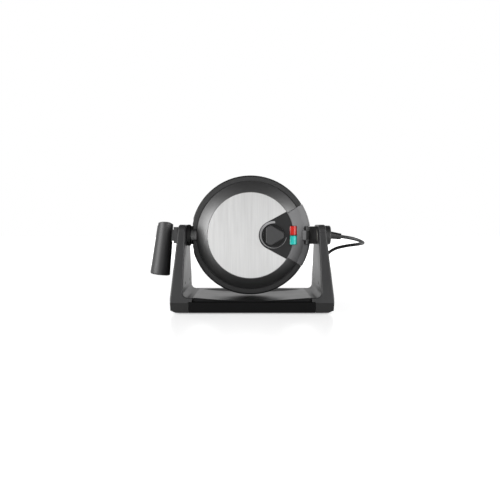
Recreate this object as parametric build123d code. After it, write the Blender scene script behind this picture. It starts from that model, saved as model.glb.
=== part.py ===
# Rotating waffle maker: a round head of two heated halves turns between the uprights of a stand.
# Millimetres, +Z up, lid towards -Y. X is measured from the head's centre until the last step.
# Pieces of the head are drawn lying flat, lid side up and turning axis along X, then stood upright.
import os
from math import atan2, cos, degrees, pi, radians, sin, sqrt, tan

from build123d import *

# Placing
stand_shift = 2.7
outline_shift = 20.45

# Clearances
running_fit = 0.05
seat_gap = 0.1
slide_gap = 0.3
side_gap = 0.4

# Housing rings of the head
rim_radius = 114.5
rim_top = 13.5
rim_chamfer = 2.5
parting_gap = 1.5
groove_inset = 10.5
groove_width = 1.4
groove_depth = 1.2
bezel_step = 2.0
bezel_width = 20.6
bezel_rise = 15.0
bezel_crown = 0.6
housing_wall = 2.5
ledge_width = 4.5
screw_recess = 0.2

# Steel discs
steel_margin = 1.0
steel_thickness = 0.8

# Control wedge and panel on the lid
wedge_half_angle = 31.0
wedge_seam = 0.7
wedge_raise = 0.8
wedge_overhang = 1.0
seam_gap = 0.2
knob_inset = 37.8
panel_radius = 27.5
panel_flare = 28.5
panel_thickness = 3.2
panel_lip = 0.6
recess_radius = 20.6
recess_depth = 1.2
lens_set_back = 8.0
lens_overlap = 5.6
lens_height = 17.7
lens_depth = 4.0
lens_crown = 1.3
lens_peak = 3.0
lens_slope = 25.0
lens_corner = 2.5
lens_gap = 0.2
window_depth = 9.0
post_radius = 2.0
post_half_spacing = 9.6
board_depth = 8.5
board_thickness = 1.6
board_length = 17.0
board_half_width = 16.0
lamp_radius = 1.8

# Knob and thermostat
knob_radius = 19.5
knob_height = 13.2
knob_skirt = 4.5
knob_flat = 14.0
knob_edge = 1.2
shaft_radius = 3.0
shaft_length = 18.2
thermostat_length = 24.0
thermostat_width = 20.0
thermostat_height = 9.0
thermostat_floor = 3.0

# Waffle plates and heating elements
flange_inset = 12.0
flange_thickness = 2.5
flange_seat = 3.5
flange_width = 14.5
pan_slope = 3.5
pan_depth = 12.0
pan_thickness = 3.0
peg_base = 13.0
peg_tip = 9.0
peg_height = 10.0
peg_pitch = 21.0
peg_first = 12.5
peg_rows = 3
ridge_width = 4.0
ridge_height = 8.0
plate_screw_inset = 6.7
plate_screw_radius = 1.4
plate_screw_head = 3.0
plate_screw_sink = 1.7
plate_screw_length = 9.0
plate_boss_radius = 3.8
plate_boss_height = 9.0
element_inset = 22.5
element_tube = 3.25
element_sweep = 310.0
element_pin = 6.0
element_pin_radius = 2.6

# Left side of the head: halved boss, lock ring, trunnion, knuckle of the handle
boss_radius = 18.0
boss_overlap = 11.0
ring_length = 6.0
ring_radius = 20.5
ring_travel = 5.6
ring_pocket = 0.5
ring_edge = 0.5
home_gap = 1.0
lid_boss_gap = 1.0
lid_boss_ease = 0.6
lid_boss_lead = 0.8
tongue_radius = 10.0
tongue_length = 12.0
journal_radius = 12.0
spigot_radius = 8.0
spigot_length = 5.0
cross_pin_radius = 1.5
bush_wall = 3.0
knuckle_flange_radius = 15.75
knuckle_flange = 1.7
knuckle_gap = 0.5
knuckle_half_width = 7.0
knuckle_neck = 8.0
knuckle_end_radius = 11.0
handle_pin_offset = 28.2
handle_pin_radius = 4.0
handle_pin_half = 15.2

# Handle, folded down beside the left upright
handle_lean = 6.9
handle_pin_to_end = 77.0
handle_top_radius = 26.0
grip_pin_radius = 16.2
grip_end_radius = 19.2
grip_end_round = 3.0
grip_wall = 3.2
grip_hollow_top = 20.0
fork_gap = 0.3
fork_floor = 11.5
fork_shoulder = 17.0
handle_screw_radius = 1.5
handle_screw_head = 3.0
handle_screw_head_height = 2.0
handle_screw_seat = 8.2
handle_screw_end = -8.1
handle_screw_places = (33.0, 62.0)
handle_boss_radius = 4.2

# Right side of the head: hinge block with the hollow trunnion
block_overlap = 10.9
block_half_width = 17.0
block_back = 17.0
block_top = 9.8
block_round = 3.0
hinge_inset = 5.0
hinge_height = 16.0
hinge_pin_radius = 2.0
knuckle_radius = 5.0
lug_slot = 9.0
lid_lug_overlap = 15.5
lid_notch = 0.6
trunnion_bore = 7.0
trunnion_bore_overrun = 6.0
trunnion_overrun = 3.2
clip_radius = 14.5
clip_thickness = 1.0
clip_mouth = 4.0

# Stand
head_clearance = 10.8
upright_top_width = 12.4
upright_width = 23.2
widest_height = 28.0
toe_inset = 1.5
toe_height = 6.0
sole_inset = 11.0
foot_base = 2.0
crease_height = 20.0
pivot_cover = 20.2
base_half_depth = 88.0
top_half_depth = 40.0
top_round = 14.0
inner_fillet = 9.0
edge_round = 3.0
seam_inset = 10.6
shell_wall = 3.0
cover_edge = 4.0
cover_bottom = 44.0
cover_thickness = 2.5
cover_screw_depth = 38.0
cover_screw_rise = 7.0
cover_screw_radius = 1.4
cover_screw_head = 2.8
cover_screw_sink = 1.2
cover_screw_length = 10.0
cover_boss_radius = 4.0
hub_radius = 18.5
pad_reach = 15.7

# Base between the uprights
tray_rim = 28.5
tray_sag = 5.0
tray_clearance = 2.5
tray_side_inset = 17.3
tray_set_back = 4.0
tray_shoulder = 8.0
tray_ramp = 22.0
tray_back_lip = 4.0
tray_thickness = 1.9
skirt_inset = 8.0
skirt_wall = 2.4
apron_inset = 1.5
apron_wall = 1.6
rail_gap = 0.3
rail_width = 8.0
rail_edge = 1.5
rail_seam = 0.6
deck_drop = 3.3
deck_thickness = 3.0
base_plate_width = 13.0
base_plate_thickness = 2.5
base_screw_depth = 32.0
base_screw_radius = 1.4
base_screw_head = 2.8
base_screw_length = 9.0
base_boss_radius = 3.6
foot_pocket_top = 21.0
foot_radius = 5.5
foot_set_back = 18.0

# Cord cap, strain relief, mains cord and plug
cap_radius = 18.5
cap_length = 10.8
cap_wall = 2.5
cap_edge = 1.5
relief_root_radius = 7.2
relief_tip_radius = 5.8
relief_length = 20.0
relief_gap = 1.2
relief_droop = 8.0
relief_neck_radius = 6.4
relief_flange_radius = 9.0
relief_flange = 2.0
cord_radius = 3.25
floor_gap = 0.05
cord_lead = 25.0
bend_share = 0.45
coil_center = (-72.0, 168.0)
coil_radius = 39.5
coil_turns = 2.5
coil_draw_in = 7.0
coil_layer = 7.0
coil_climb = 0.5
coil_samples = 60
coil_lead = 6.5
coil_run = 31.0
tail_run = 15.0
tail_rise = 22.0
plug_radius = 18.2
plug_body_length = 22.0
plug_taper_length = 14.0
plug_tail_radius = 5.0
plug_tail_length = 14.0
plug_shoulder_radius = 7.0
plug_edge = 2.0
pin_radius = 2.4
pin_spacing = 19.0
pin_length = 19.0

# Places worked out from the sizes above
groove_radius = rim_radius - groove_inset
bezel_foot_radius = groove_radius - groove_width
bezel_top_radius = bezel_foot_radius - bezel_width
steel_radius = bezel_top_radius - steel_margin
knob_offset = steel_radius - knob_inset
rim_edge = rim_top - rim_chamfer
bezel_foot = rim_top + bezel_step
face_height = bezel_foot + bezel_rise
lens_inner = bezel_top_radius - lens_set_back
lens_outer = bezel_top_radius + lens_overlap
lens_bottom = face_height - lens_depth
board_height = face_height - board_depth
flange_radius = rim_radius - flange_inset
pan_radius = flange_radius - flange_width
pan_floor_radius = pan_radius - pan_slope
plate_screw_circle = flange_radius - plate_screw_inset
element_radius = pan_floor_radius - element_inset
boss_inner = rim_radius - boss_overlap
block_inner = rim_radius - block_overlap
hinge_offset = rim_radius - hinge_inset
lid_lug_inner = rim_radius - lid_lug_overlap
tray_dip = tray_rim - tray_sag
pivot_height = tray_dip + tray_clearance + rim_radius
stand_top = pivot_height + pivot_cover
inner_half = rim_radius + head_clearance
top_half = inner_half + upright_top_width
widest_half = inner_half + upright_width
toe_half = widest_half - toe_inset
sole_half = widest_half - sole_inset
pad_half = inner_half + pad_reach
seam_half = inner_half - seam_inset
cover_screw_height = cover_bottom + cover_screw_rise
tray_half_length = inner_half - tray_side_inset
tray_half_depth = base_half_depth - tray_set_back
tray_valley_half = tray_half_length - tray_shoulder
tray_ramp_end = tray_half_depth - tray_back_lip
tray_ramp_start = tray_ramp_end - tray_ramp
rail_top = tray_dip - tray_thickness - rail_gap
deck_height = rail_top - deck_drop
foot_depth = base_half_depth - foot_set_back
left_face = stand_shift - inner_half
right_face = stand_shift + inner_half
left_pad = stand_shift - pad_half
right_pad = stand_shift + pad_half
steel_seat = face_height - steel_thickness - seat_gap
ledge_radius = steel_radius - ledge_width
flange_back = parting_gap + flange_thickness
seat_radius = flange_radius - flange_seat
pan_floor = parting_gap + pan_depth
pan_back = pan_floor + pan_thickness
knob_base = steel_seat + panel_lip - recess_depth + slide_gap
ring_left = left_face + side_gap
ring_right = ring_left + ring_length
rear_boss_end = ring_right - seat_gap
lid_boss_end = rear_boss_end + lid_boss_gap
lid_boss_radius = boss_radius - lid_boss_ease
handle_pin_x = left_pad - knuckle_gap - handle_pin_offset
bush_radius = journal_radius + running_fit + bush_wall


def along_x(radius, start, end, y=0, z=0):
    """Cylinder along X between two places."""
    length = abs(end - start)
    return Pos((start + end) / 2, y, z) * Rot(0, 90, 0) * Cylinder(radius, length)


def along_y(radius, start, end, x=0, z=0):
    """Cylinder along Y between two places."""
    length = abs(end - start)
    return Pos(x, (start + end) / 2, z) * Rot(90, 0, 0) * Cylinder(radius, length)


def upwards(radius, low, high, x=0, y=0):
    """Cylinder along Z between two heights."""
    return Pos(x, y, (low + high) / 2) * Cylinder(radius, high - low)


def block(x, y, z):
    """Box given by its limits along each axis."""
    size = [limits[1] - limits[0] for limits in (x, y, z)]
    middle = [(limits[0] + limits[1]) / 2 for limits in (x, y, z)]
    return Pos(*middle) * Box(*size)


def spun(points):
    """Solid turned about Z from a closed half section of (radius, height) points."""
    return revolve(Plane.XZ * make_face(Polyline(*points, close=True)), Axis.Z)


def spun_x(points):
    """Solid turned about X from a closed half section of (place, radius) points."""
    return revolve(Plane.XY * make_face(Polyline(*points, close=True)), Axis.X)


def stand_up(flat):
    """Turns a piece of the head from its flat drawing to the upright rest pose."""
    return Pos(0, 0, pivot_height) * Rot(90, 0, 0) * flat


def rear(flat):
    """The same piece on the rear half of the head."""
    return mirror(flat, Plane.XY)


def around(radius, angles):
    """Points on a circle at the given angles."""
    return [(radius * cos(radians(a)), radius * sin(radians(a))) for a in angles]


# Housing rings
def bezel_inside():
    """Inner ends of the bezel wall: where it meets the steel's ledge and where it meets the rim."""
    run = bezel_foot_radius - bezel_top_radius
    rise = face_height - bezel_foot
    slant = sqrt(run * run + rise * rise)
    foot = (bezel_foot_radius - housing_wall * rise / slant, bezel_foot - housing_wall * run / slant)
    top_height = steel_seat - housing_wall
    top = (foot[0] - (top_height - foot[1]) * run / rise, top_height)
    return top, foot


def ring_inside():
    """Inner side of a housing ring, from the steel's edge down to the parting face."""
    top, foot = bezel_inside()
    edge = steel_radius + slide_gap
    return [
        (edge, face_height),
        (edge, steel_seat),
        (ledge_radius, steel_seat),
        (ledge_radius, steel_seat - housing_wall),
        top,
        foot,
        (seat_radius, foot[1] - housing_wall),
        (seat_radius, flange_back),
        (flange_radius + seat_gap, flange_back),
        (flange_radius + seat_gap, parting_gap),
    ]


def bezel_arc(foot, top):
    """Slightly crowned slope of the bezel."""
    run = foot[0] - top[0]
    rise = top[1] - foot[1]
    slant = sqrt(run * run + rise * rise)
    middle = (
        (foot[0] + top[0]) / 2 + bezel_crown * rise / slant,
        (foot[1] + top[1]) / 2 + bezel_crown * run / slant,
    )
    return ThreePointArc(foot, middle, top)


def housing_ring():
    """Moulded ring with rim, groove, sloped bezel and ledge for the steel disc."""
    top = (bezel_top_radius, face_height)
    foot = (bezel_foot_radius, bezel_foot)
    outline = [top] + ring_inside() + [
        (rim_radius, parting_gap),
        (rim_radius, rim_edge),
        (rim_radius - rim_chamfer, rim_top),
        (groove_radius, rim_top),
        (groove_radius, rim_top - groove_depth),
        (bezel_foot_radius, rim_top - groove_depth),
        foot,
    ]
    section = make_face(Polyline(*outline) + bezel_arc(foot, top))
    return revolve(Plane.XZ * section, Axis.Z)


def wedge_ring():
    """Ring with the raised section of the control wedge, which has no groove."""
    top = (bezel_top_radius, face_height + wedge_raise)
    foot = (bezel_foot_radius, bezel_foot + wedge_raise)
    outline = [top] + ring_inside() + [
        (rim_radius + wedge_overhang, parting_gap),
        (rim_radius + wedge_overhang, rim_edge),
        (rim_radius + wedge_overhang - rim_chamfer, rim_top + wedge_raise),
        foot,
    ]
    section = make_face(Polyline(*outline) + bezel_arc(foot, top))
    return revolve(Plane.XZ * section, Axis.Z)


def sector(apex):
    """Wedge-shaped block over the control side, moved out by the apex distance."""
    reach = 2 * rim_radius
    half = reach * tan(radians(wedge_half_angle))
    outline = Polyline((apex, 0), (apex + reach, half), (apex + reach, -half), close=True)
    return extrude(make_face(outline), 2 * face_height)


def plate_bosses():
    """Bosses in a housing that take the screws of its waffle plate."""
    places = around(plate_screw_circle, (45, 135, 225, 315))
    top = flange_back + plate_boss_height
    solid = [upwards(plate_boss_radius, flange_back, top, x, y) for x, y in places]
    holes = [upwards(plate_screw_radius + seat_gap, 0, top - 1, x, y) for x, y in places]
    return solid, holes


def half_boss(radius, end):
    """Half of the boss at the turning axis, on the lid side."""
    full = along_x(radius, -boss_inner, end)
    reach = 2 * boss_radius
    return full & block((end, -boss_inner), (-reach, reach), (parting_gap, reach))


def ring_room():
    """Room that the lock ring needs beside the rim when it is pushed home."""
    inner = ring_right + ring_travel + side_gap
    return along_x(ring_radius + ring_pocket, left_face, inner)


def lid_boss_room():
    """Socket of the lid's half of the boss, and the flat on the rim that the lock ring comes up to."""
    reach = 2 * rim_radius
    flat = block((-reach, ring_right + ring_travel + home_gap), (-reach, reach), (-reach, reach))
    return flat + along_x(lid_boss_radius + seat_gap, -reach, seat_gap - boss_inner)


def block_room(gap):
    """Room for the hinge block in the rim."""
    reach = 2 * face_height
    half = block_half_width + gap
    return block((block_inner - gap, rim_radius + reach), (-half, half), (-reach, reach))


def lid_housing():
    bosses, holes = plate_bosses()
    shell = housing_ring() + bosses - holes - lid_boss_room()
    return shell - sector(-wedge_seam / sin(radians(wedge_half_angle)))


def lid_boss():
    """Lid's half of the boss, in its socket in the rim, with a lead for the lock ring."""
    boss = half_boss(lid_boss_radius, lid_boss_end)
    return chamfer(boss.edges().filter_by(GeomType.CIRCLE).sort_by(Axis.X)[0], lid_boss_lead)


def rear_housing():
    bosses, holes = plate_bosses()
    shell = housing_ring() + bosses - holes - ring_room()
    shell += half_boss(boss_radius, rear_boss_end)
    shell -= along_x(tongue_radius + running_fit, rear_boss_end, rear_boss_end + tongue_length + seat_gap)
    return rear(shell - block_room(seat_gap))


def control_housing():
    """Raised wedge of the lid that carries the controls and the lid's hinge lug."""
    shell = wedge_ring() & sector(0)
    shell -= block_room(lid_notch)
    lug_half = lug_slot - slide_gap
    top = hinge_height + knuckle_radius
    bottom = hinge_height - knuckle_radius + slide_gap
    lug = block((lid_lug_inner, hinge_offset), (-lug_half, lug_half), (bottom, top))
    lug += along_y(knuckle_radius, -lug_half, lug_half, hinge_offset, hinge_height)
    shell += lug
    shell -= along_y(hinge_pin_radius + running_fit, -lug_half, lug_half, hinge_offset, hinge_height)
    return shell - lens_window()


# Steel discs and control panel
def teardrop(grow):
    """Outline of the control panel: a round end with two flared sides, open past the disc's edge."""
    radius = panel_radius + grow
    slope = radians(panel_flare)
    touch = (knob_offset - radius * sin(slope), radius * cos(slope))
    reach = 2 * steel_radius
    far = (touch[0] + reach * cos(slope), touch[1] + reach * sin(slope))
    flare = make_face(Polyline(touch, far, (far[0], -far[1]), (touch[0], -touch[1]), close=True))
    return Pos(knob_offset, 0) * Circle(radius) + flare


def steel_disc():
    return extrude(Pos(0, 0, steel_seat) * Circle(steel_radius), steel_thickness)


def lid_steel_cover():
    return steel_disc() - extrude(Pos(0, 0, steel_seat - 1) * teardrop(seam_gap), steel_thickness + 2)


def control_panel():
    """Dark panel with the knob's recess, the lens windows and two posts for the lamp board."""
    low = steel_seat + panel_lip - panel_thickness
    lip = extrude(Pos(0, 0, steel_seat) * (teardrop(0) & Circle(steel_radius)), panel_lip)
    inner = teardrop(0) & Circle(ledge_radius - slide_gap)
    panel = lip + extrude(Pos(0, 0, low) * inner, steel_seat - low)
    recess_floor = steel_seat + panel_lip - recess_depth
    panel -= upwards(recess_radius, recess_floor, face_height, knob_offset)
    panel -= upwards(shaft_radius + 3 * slide_gap, low - 1, face_height, knob_offset)
    panel -= lens_window()
    for x, y in board_posts():
        panel += upwards(post_radius, board_height + board_thickness, low, x, y)
    return panel


def board_posts():
    """Places of the posts beside the lenses."""
    x = lens_inner - 2 * post_radius
    return [(x, post_half_spacing), (x, -post_half_spacing)]


def lens_section(grow):
    """Side view of a lens, which bends over the edge of the bezel."""
    fall = (lens_outer - bezel_top_radius) * tan(radians(lens_slope))
    left = (lens_inner - grow, steel_seat + panel_lip + grow)
    right = (lens_outer + grow, face_height - fall + grow)
    middle = (bezel_top_radius - lens_peak, face_height + lens_crown + grow)
    arc = ThreePointArc(left, middle, right)
    low = lens_bottom - grow
    return make_face(Polyline(right, (right[0], low), (left[0], low), left) + arc)


def lens(side):
    """One lens of the pair, above or below the middle line."""
    section = Plane.XZ * lens_section(0)
    solid = extrude(section, lens_height / 2, both=True)
    solid = fillet(solid.edges().filter_by(Axis.Z), lens_corner)
    return Pos(0, side * (lens_height / 2 + slide_gap), 0) * solid


def lens_window():
    """Window for both lenses."""
    half = lens_height + slide_gap + lens_gap
    limits = (steel_seat - window_depth, face_height + window_depth)
    return block((lens_inner - lens_gap, lens_outer + lens_gap), (-half, half), limits)


def lamp_board():
    """Small board with a lamp behind each lens."""
    start = lens_inner - 3.5 * post_radius
    low = board_height
    high = board_height + board_thickness
    board = block((start, start + board_length), (-board_half_width, board_half_width), (low, high))
    x = (lens_inner + start + board_length) / 2
    reach = lens_height / 2 - lamp_radius
    for side in (-1, 1):
        middle = side * lens_height / 2
        board += along_y(lamp_radius, middle - reach / 2, middle + reach / 2, x, high + lamp_radius / 2)
    return board


# Knob and thermostat
def knob():
    """Round knob with three flats, which give its top a rounded triangle."""
    body = upwards(knob_radius, knob_base, knob_base + knob_height)
    reach = 2 * knob_radius
    for angle in (60, 180, 300):
        flat = block((knob_flat, reach), (-reach, reach), (knob_base + knob_skirt, knob_base + reach))
        body -= Rot(0, 0, angle) * flat
    top_edges = body.faces().sort_by(Axis.Z)[-1].edges()
    body = chamfer(top_edges, knob_edge)
    body -= upwards(shaft_radius + running_fit / 2, knob_base - 1, shaft_top())
    return Pos(knob_offset, 0, 0) * body


def shaft_bottom():
    return pan_back + thermostat_floor + slide_gap


def shaft_top():
    return shaft_bottom() + shaft_length


def knob_shaft():
    return upwards(shaft_radius, shaft_bottom(), shaft_top(), knob_offset)


def thermostat():
    """Thermostat body on the back of the lid's plate, with the bore for the knob's shaft."""
    half_length = thermostat_length / 2
    half_width = thermostat_width / 2
    top = pan_back + thermostat_height
    body = block((-half_length, half_length), (-half_width, half_width), (pan_back, top))
    body = fillet(body.edges().filter_by(Axis.Z), half_width / 3)
    body -= upwards(shaft_radius + running_fit, pan_back + thermostat_floor, top + 1)
    return Pos(knob_offset, 0, 0) * body


# Waffle plates
def pegs():
    """Tapered pegs of a plate, in four fields that the two ridges part."""
    taper = degrees(atan2((peg_base - peg_tip) / 2, peg_height))
    peg = extrude(Rectangle(peg_base, peg_base), peg_height, taper=taper)
    steps = [peg_first + i * peg_pitch for i in range(peg_rows)]
    lines = [-s for s in steps] + steps
    reach = pan_floor_radius - peg_base / sqrt(2)
    places = [(x, y) for x in lines for y in lines if sqrt(x * x + y * y) < reach]
    return [Pos(x, y, pan_floor) * Rot(180, 0, 0) * peg for x, y in places]


def ridges():
    """Two crossed ridges that part the waffle in quarters."""
    length = 2 * pan_floor_radius
    half_top = ridge_width / 4
    low = pan_floor - ridge_height
    half = ridge_width / 2
    section = Polyline((-half, pan_floor), (-half_top, low), (half_top, low), (half, pan_floor), close=True)
    ridge = extrude(Plane.XZ * make_face(section), length / 2, both=True)
    return [ridge, Rot(0, 0, 90) * ridge]


def waffle_plate():
    """Cast plate: flange, sloped pan, pegs and ridges."""
    plate = spun([
        (0, pan_floor),
        (pan_floor_radius, pan_floor),
        (pan_radius, parting_gap),
        (flange_radius, parting_gap),
        (flange_radius, flange_back),
        (pan_radius + pan_thickness, flange_back),
        (pan_floor_radius + pan_thickness, pan_back),
        (0, pan_back),
    ])
    plate = plate + pegs() + ridges()
    for x, y in around(plate_screw_circle, (45, 135, 225, 315)):
        plate -= upwards(plate_screw_head + seat_gap, 0, parting_gap + plate_screw_sink, x, y)
        plate -= upwards(plate_screw_radius + seat_gap, 0, pan_back, x, y)
    return plate


def plate_screws():
    """Countersunk screws of one plate."""
    screw = upwards(plate_screw_head, parting_gap, parting_gap + plate_screw_sink)
    screw += upwards(plate_screw_radius, parting_gap, parting_gap + plate_screw_length)
    places = around(plate_screw_circle, (45, 135, 225, 315))
    return Compound([Pos(x, y, 0) * screw for x, y in places])


def heating_element():
    """Tubular heater lying on the back of a plate, with its two cold ends turned up."""
    height = pan_back + element_tube + running_fit
    tube = Plane.XZ * Pos(element_radius, height) * Circle(element_tube)
    ring = revolve(tube, Axis.Z, element_sweep)
    ring = Rot(0, 0, -element_sweep / 2) * ring
    for side in (-1, 1):
        angle = radians(180 + side * (360 - element_sweep) / 2)
        x = element_radius * cos(angle)
        y = element_radius * sin(angle)
        ring += upwards(element_pin_radius, height, height + element_pin, x, y)
    return ring


# Left side: lock ring, trunnion and knuckle
def lock_ring():
    """Ring that slides over the halved boss and holds the lid shut."""
    ring = along_x(ring_radius, ring_left, ring_right)
    ring = chamfer(ring.edges().filter_by(GeomType.CIRCLE), ring_edge)
    return ring - along_x(boss_radius + slide_gap, ring_left, ring_right)


def left_trunnion():
    """Guide of the lock ring, with a half-round tongue in the rear half of the boss."""
    guide = along_x(boss_radius, ring_left, rear_boss_end)
    tongue = along_x(tongue_radius, rear_boss_end, rear_boss_end + tongue_length)
    reach = 2 * tongue_radius
    keep = block((rear_boss_end, 0), (-reach, reach), (-reach, -parting_gap))
    guide += tongue & keep
    guide -= along_x(spigot_radius + running_fit, ring_left, ring_left + spigot_length + seat_gap)
    return guide - cross_pin(seat_gap / 2)


def cross_pin(grow):
    """Pin through the guide and the knuckle's spigot."""
    half = boss_radius - slide_gap + grow
    return along_y(cross_pin_radius + grow, -half, half, ring_left + spigot_length / 2)


def handle_knuckle():
    """Journal in the left bush, with a flange and the flat tongue that carries the handle."""
    outer = left_pad - knuckle_gap
    piece = along_x(journal_radius, outer, ring_left)
    piece += along_x(spigot_radius, ring_left, ring_left + spigot_length)
    piece += along_x(knuckle_flange_radius, outer - knuckle_flange, outer)
    half = knuckle_half_width
    tall_end = outer - knuckle_flange - knuckle_neck
    tall = knuckle_flange_radius
    piece += block((tall_end, outer), (-tall, tall), (-half, half))
    low = knuckle_end_radius
    piece += block((handle_pin_x, tall_end), (-low, low), (-half, half))
    piece += upwards(low, -half, half, handle_pin_x)
    piece -= upwards(handle_pin_radius + running_fit, -half, half, handle_pin_x)
    return piece - cross_pin(seat_gap / 2)


# Handle, drawn about its pin with the grip downwards, then leant outwards
def grip_body():
    """Tapered round grip with a rounded lower end and a top that is round about the pin."""
    end = -handle_pin_to_end
    slope = (grip_end_radius - grip_pin_radius) / handle_pin_to_end
    top = handle_top_radius
    body = spun([
        (0, end),
        (grip_end_radius, end),
        (grip_pin_radius - slope * top, top),
        (0, top),
    ])
    body = fillet(body.edges().sort_by(Axis.Z)[0], grip_end_round)
    reach = 2 * grip_end_radius
    swing = along_y(handle_top_radius, -reach, reach)
    return body & (swing + block((-reach, reach), (-reach, reach), (end - 1, 0)))


def grip_hollow():
    """Hollow of the grip below its fork, with the screw bosses left standing."""
    end = -handle_pin_to_end + grip_wall
    top = -grip_hollow_top
    slope = (grip_end_radius - grip_pin_radius) / handle_pin_to_end
    hollow = spun([
        (0, end),
        (grip_end_radius - grip_wall - slope * grip_wall, end),
        (grip_pin_radius - grip_wall + slope * grip_hollow_top, top),
        (0, top),
    ])
    reach = 2 * grip_end_radius
    for place in handle_screw_places:
        hollow -= along_y(handle_boss_radius, -reach, reach, 0, -place)
    return hollow


def fork_slot():
    """Room for the knuckle between the cheeks, over the whole swing."""
    half = knuckle_half_width + fork_gap
    reach = 3 * handle_top_radius
    slot = block((-fork_floor, reach), (-half, half), (-fork_floor, reach))
    return slot + block((-reach, reach), (-half, half), (fork_shoulder, reach))


def handle_screws_flat():
    """Screws from the back shell into the front one."""
    screws = []
    top = handle_screw_seat + handle_screw_head_height
    for place in handle_screw_places:
        screw = along_y(handle_screw_head, handle_screw_seat, top, 0, -place)
        screw += along_y(handle_screw_radius, handle_screw_end, handle_screw_seat, 0, -place)
        screws.append(screw)
    return screws


def handle_pin():
    return along_y(handle_pin_radius, -handle_pin_half, handle_pin_half)


def grip_shells():
    """Front and back shell of the handle, parted in the middle."""
    body = grip_body() - grip_hollow() - fork_slot()
    body -= along_y(handle_pin_radius + running_fit / 2, -handle_pin_half, handle_pin_half)
    reach = 4 * handle_pin_to_end
    for place in handle_screw_places:
        body -= along_y(handle_screw_head + seat_gap, handle_screw_seat, reach, 0, -place)
        body -= along_y(handle_screw_radius + seat_gap, handle_screw_end - seat_gap, reach, 0, -place)
    gap = seat_gap / 2
    front = body & block((-reach, reach), (-reach, -gap), (-reach, reach))
    back = body & block((-reach, reach), (gap, reach), (-reach, reach))
    return front, back


def hang_handle(flat):
    """Puts a piece of the handle on its pin, leant away from the upright."""
    return Pos(handle_pin_x, 0, pivot_height) * Rot(0, handle_lean, 0) * flat


# Right side: hinge block, pin and clip
def hinge_block():
    """Block on the rear half with two hinge lugs and the hollow trunnion."""
    outer = right_face - side_gap
    half = block_half_width
    body = block((block_inner, outer), (-half, half), (-block_back, block_top))
    edges = body.edges().filter_by(Axis.X)
    body = fillet(edges, block_round)
    for side in (-1, 1):
        inner = side * lug_slot
        edge = side * half
        low, high = min(inner, edge), max(inner, edge)
        body += along_y(knuckle_radius, low, high, hinge_offset, hinge_height)
        sides = (hinge_offset - knuckle_radius, hinge_offset + knuckle_radius)
        body += block(sides, (low, high), (0, hinge_height))
    room = knuckle_radius + 2 * slide_gap
    body -= along_y(room, -lug_slot, lug_slot, hinge_offset, hinge_height)
    body -= along_y(hinge_pin_radius + running_fit / 2, -half, half, hinge_offset, hinge_height)
    body += along_x(journal_radius, outer, right_pad + trunnion_overrun)
    return body - along_x(trunnion_bore, outer - trunnion_bore_overrun, right_pad + trunnion_overrun)


def hinge_pin():
    return along_y(hinge_pin_radius, -block_half_width, block_half_width, hinge_offset, hinge_height)


def retaining_clip():
    """Spring clip that keeps the hollow trunnion in its bush."""
    start = right_pad + side_gap
    clip = along_x(clip_radius, start, start + clip_thickness)
    clip -= along_x(journal_radius + running_fit, start, start + clip_thickness)
    half = clip_mouth / 2
    mouth = block((start, start + clip_thickness), (-half, half), (0, 2 * clip_radius))
    return clip - mouth


# Stand, drawn for the right side about the stand's own middle
def side_outline():
    """Upright and foot seen from the side."""
    points = [
        (-base_half_depth, foot_base),
        (base_half_depth, foot_base),
        (base_half_depth, crease_height),
        (top_half_depth, stand_top),
        (-top_half_depth, stand_top),
        (-base_half_depth, crease_height),
    ]
    face = make_face(Polyline(*points, close=True))
    corners = face.vertices().sort_by(Axis.Y)[-2:]
    return fillet(corners, top_round)


def front_outline():
    """Upright and foot seen from the front, with the fillet that runs into the tray."""
    lip = tray_half_length + seam_gap
    shelf = rail_top + seam_gap
    bend = (inner_half - inner_fillet, tray_rim + inner_fillet)
    share = inner_fillet * sin(pi / 4)
    arc = ThreePointArc(
        (inner_half, bend[1]), (bend[0] + share, bend[1] - share), (bend[0], tray_rim)
    )
    outline = Polyline(
        (bend[0], tray_rim),
        (lip, tray_rim),
        (lip, shelf),
        (seam_half, shelf),
        (seam_half, foot_base),
        (sole_half, foot_base),
        (toe_half, toe_height),
        (widest_half, widest_height),
        (top_half, stand_top),
        (inner_half, stand_top),
        (inner_half, bend[1]),
    )
    return make_face(outline + arc)


def outer_at(height):
    """Half width of the upright's outer face at a height."""
    share = (height - widest_height) / (stand_top - widest_height)
    return widest_half + share * (top_half - widest_half)


def cover_outline(gap):
    """Outline of the opening on the inner side of an upright, less a gap."""
    inset = offset(side_outline(), -cover_edge - gap)
    low = cover_bottom + gap
    window = Pos(0, (low + stand_top) / 2) * Rectangle(2 * base_half_depth, stand_top - low)
    return inset & window


def across(face, start, end):
    """Extrudes a side view along X between two places."""
    return extrude(Plane.YZ.offset(start) * face, end - start, dir=(1, 0, 0))


def upright_hollow():
    """Space inside an upright, open towards the head."""
    section = Polyline(
        (inner_half - 1, cover_bottom),
        (outer_at(cover_bottom) - shell_wall, cover_bottom),
        (outer_at(stand_top) - shell_wall, stand_top),
        (inner_half - 1, stand_top),
        close=True,
    )
    tall = extrude(Plane.XZ * make_face(section), base_half_depth, both=True)
    return tall & across(cover_outline(0), inner_half - 2, widest_half)


def foot_hollow(gap):
    """Space inside a foot, open downwards; the gap makes the plate that closes it."""
    start = seam_half + shell_wall
    half = base_half_depth - shell_wall
    return block(
        (start + gap, start + base_plate_width - gap),
        (-half + gap, half - gap),
        (foot_base, foot_pocket_top),
    )


def plate_middle():
    return seam_half + shell_wall + base_plate_width / 2


def upright_edges(shell):
    """Long edges of the inner and outer face of an upright."""
    faces = shell.faces().sort_by(SortBy.AREA)
    inner = faces.filter_by(Axis.X)[-1]
    outer = [face for face in faces if face.normal_at().X > 0.5 and face.center().Z > widest_height][-1]
    low = max(widest_height, tray_rim + inner_fillet) + edge_round
    return [edge for edge in inner.edges() + outer.edges() if edge.center().Z > low]


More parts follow.
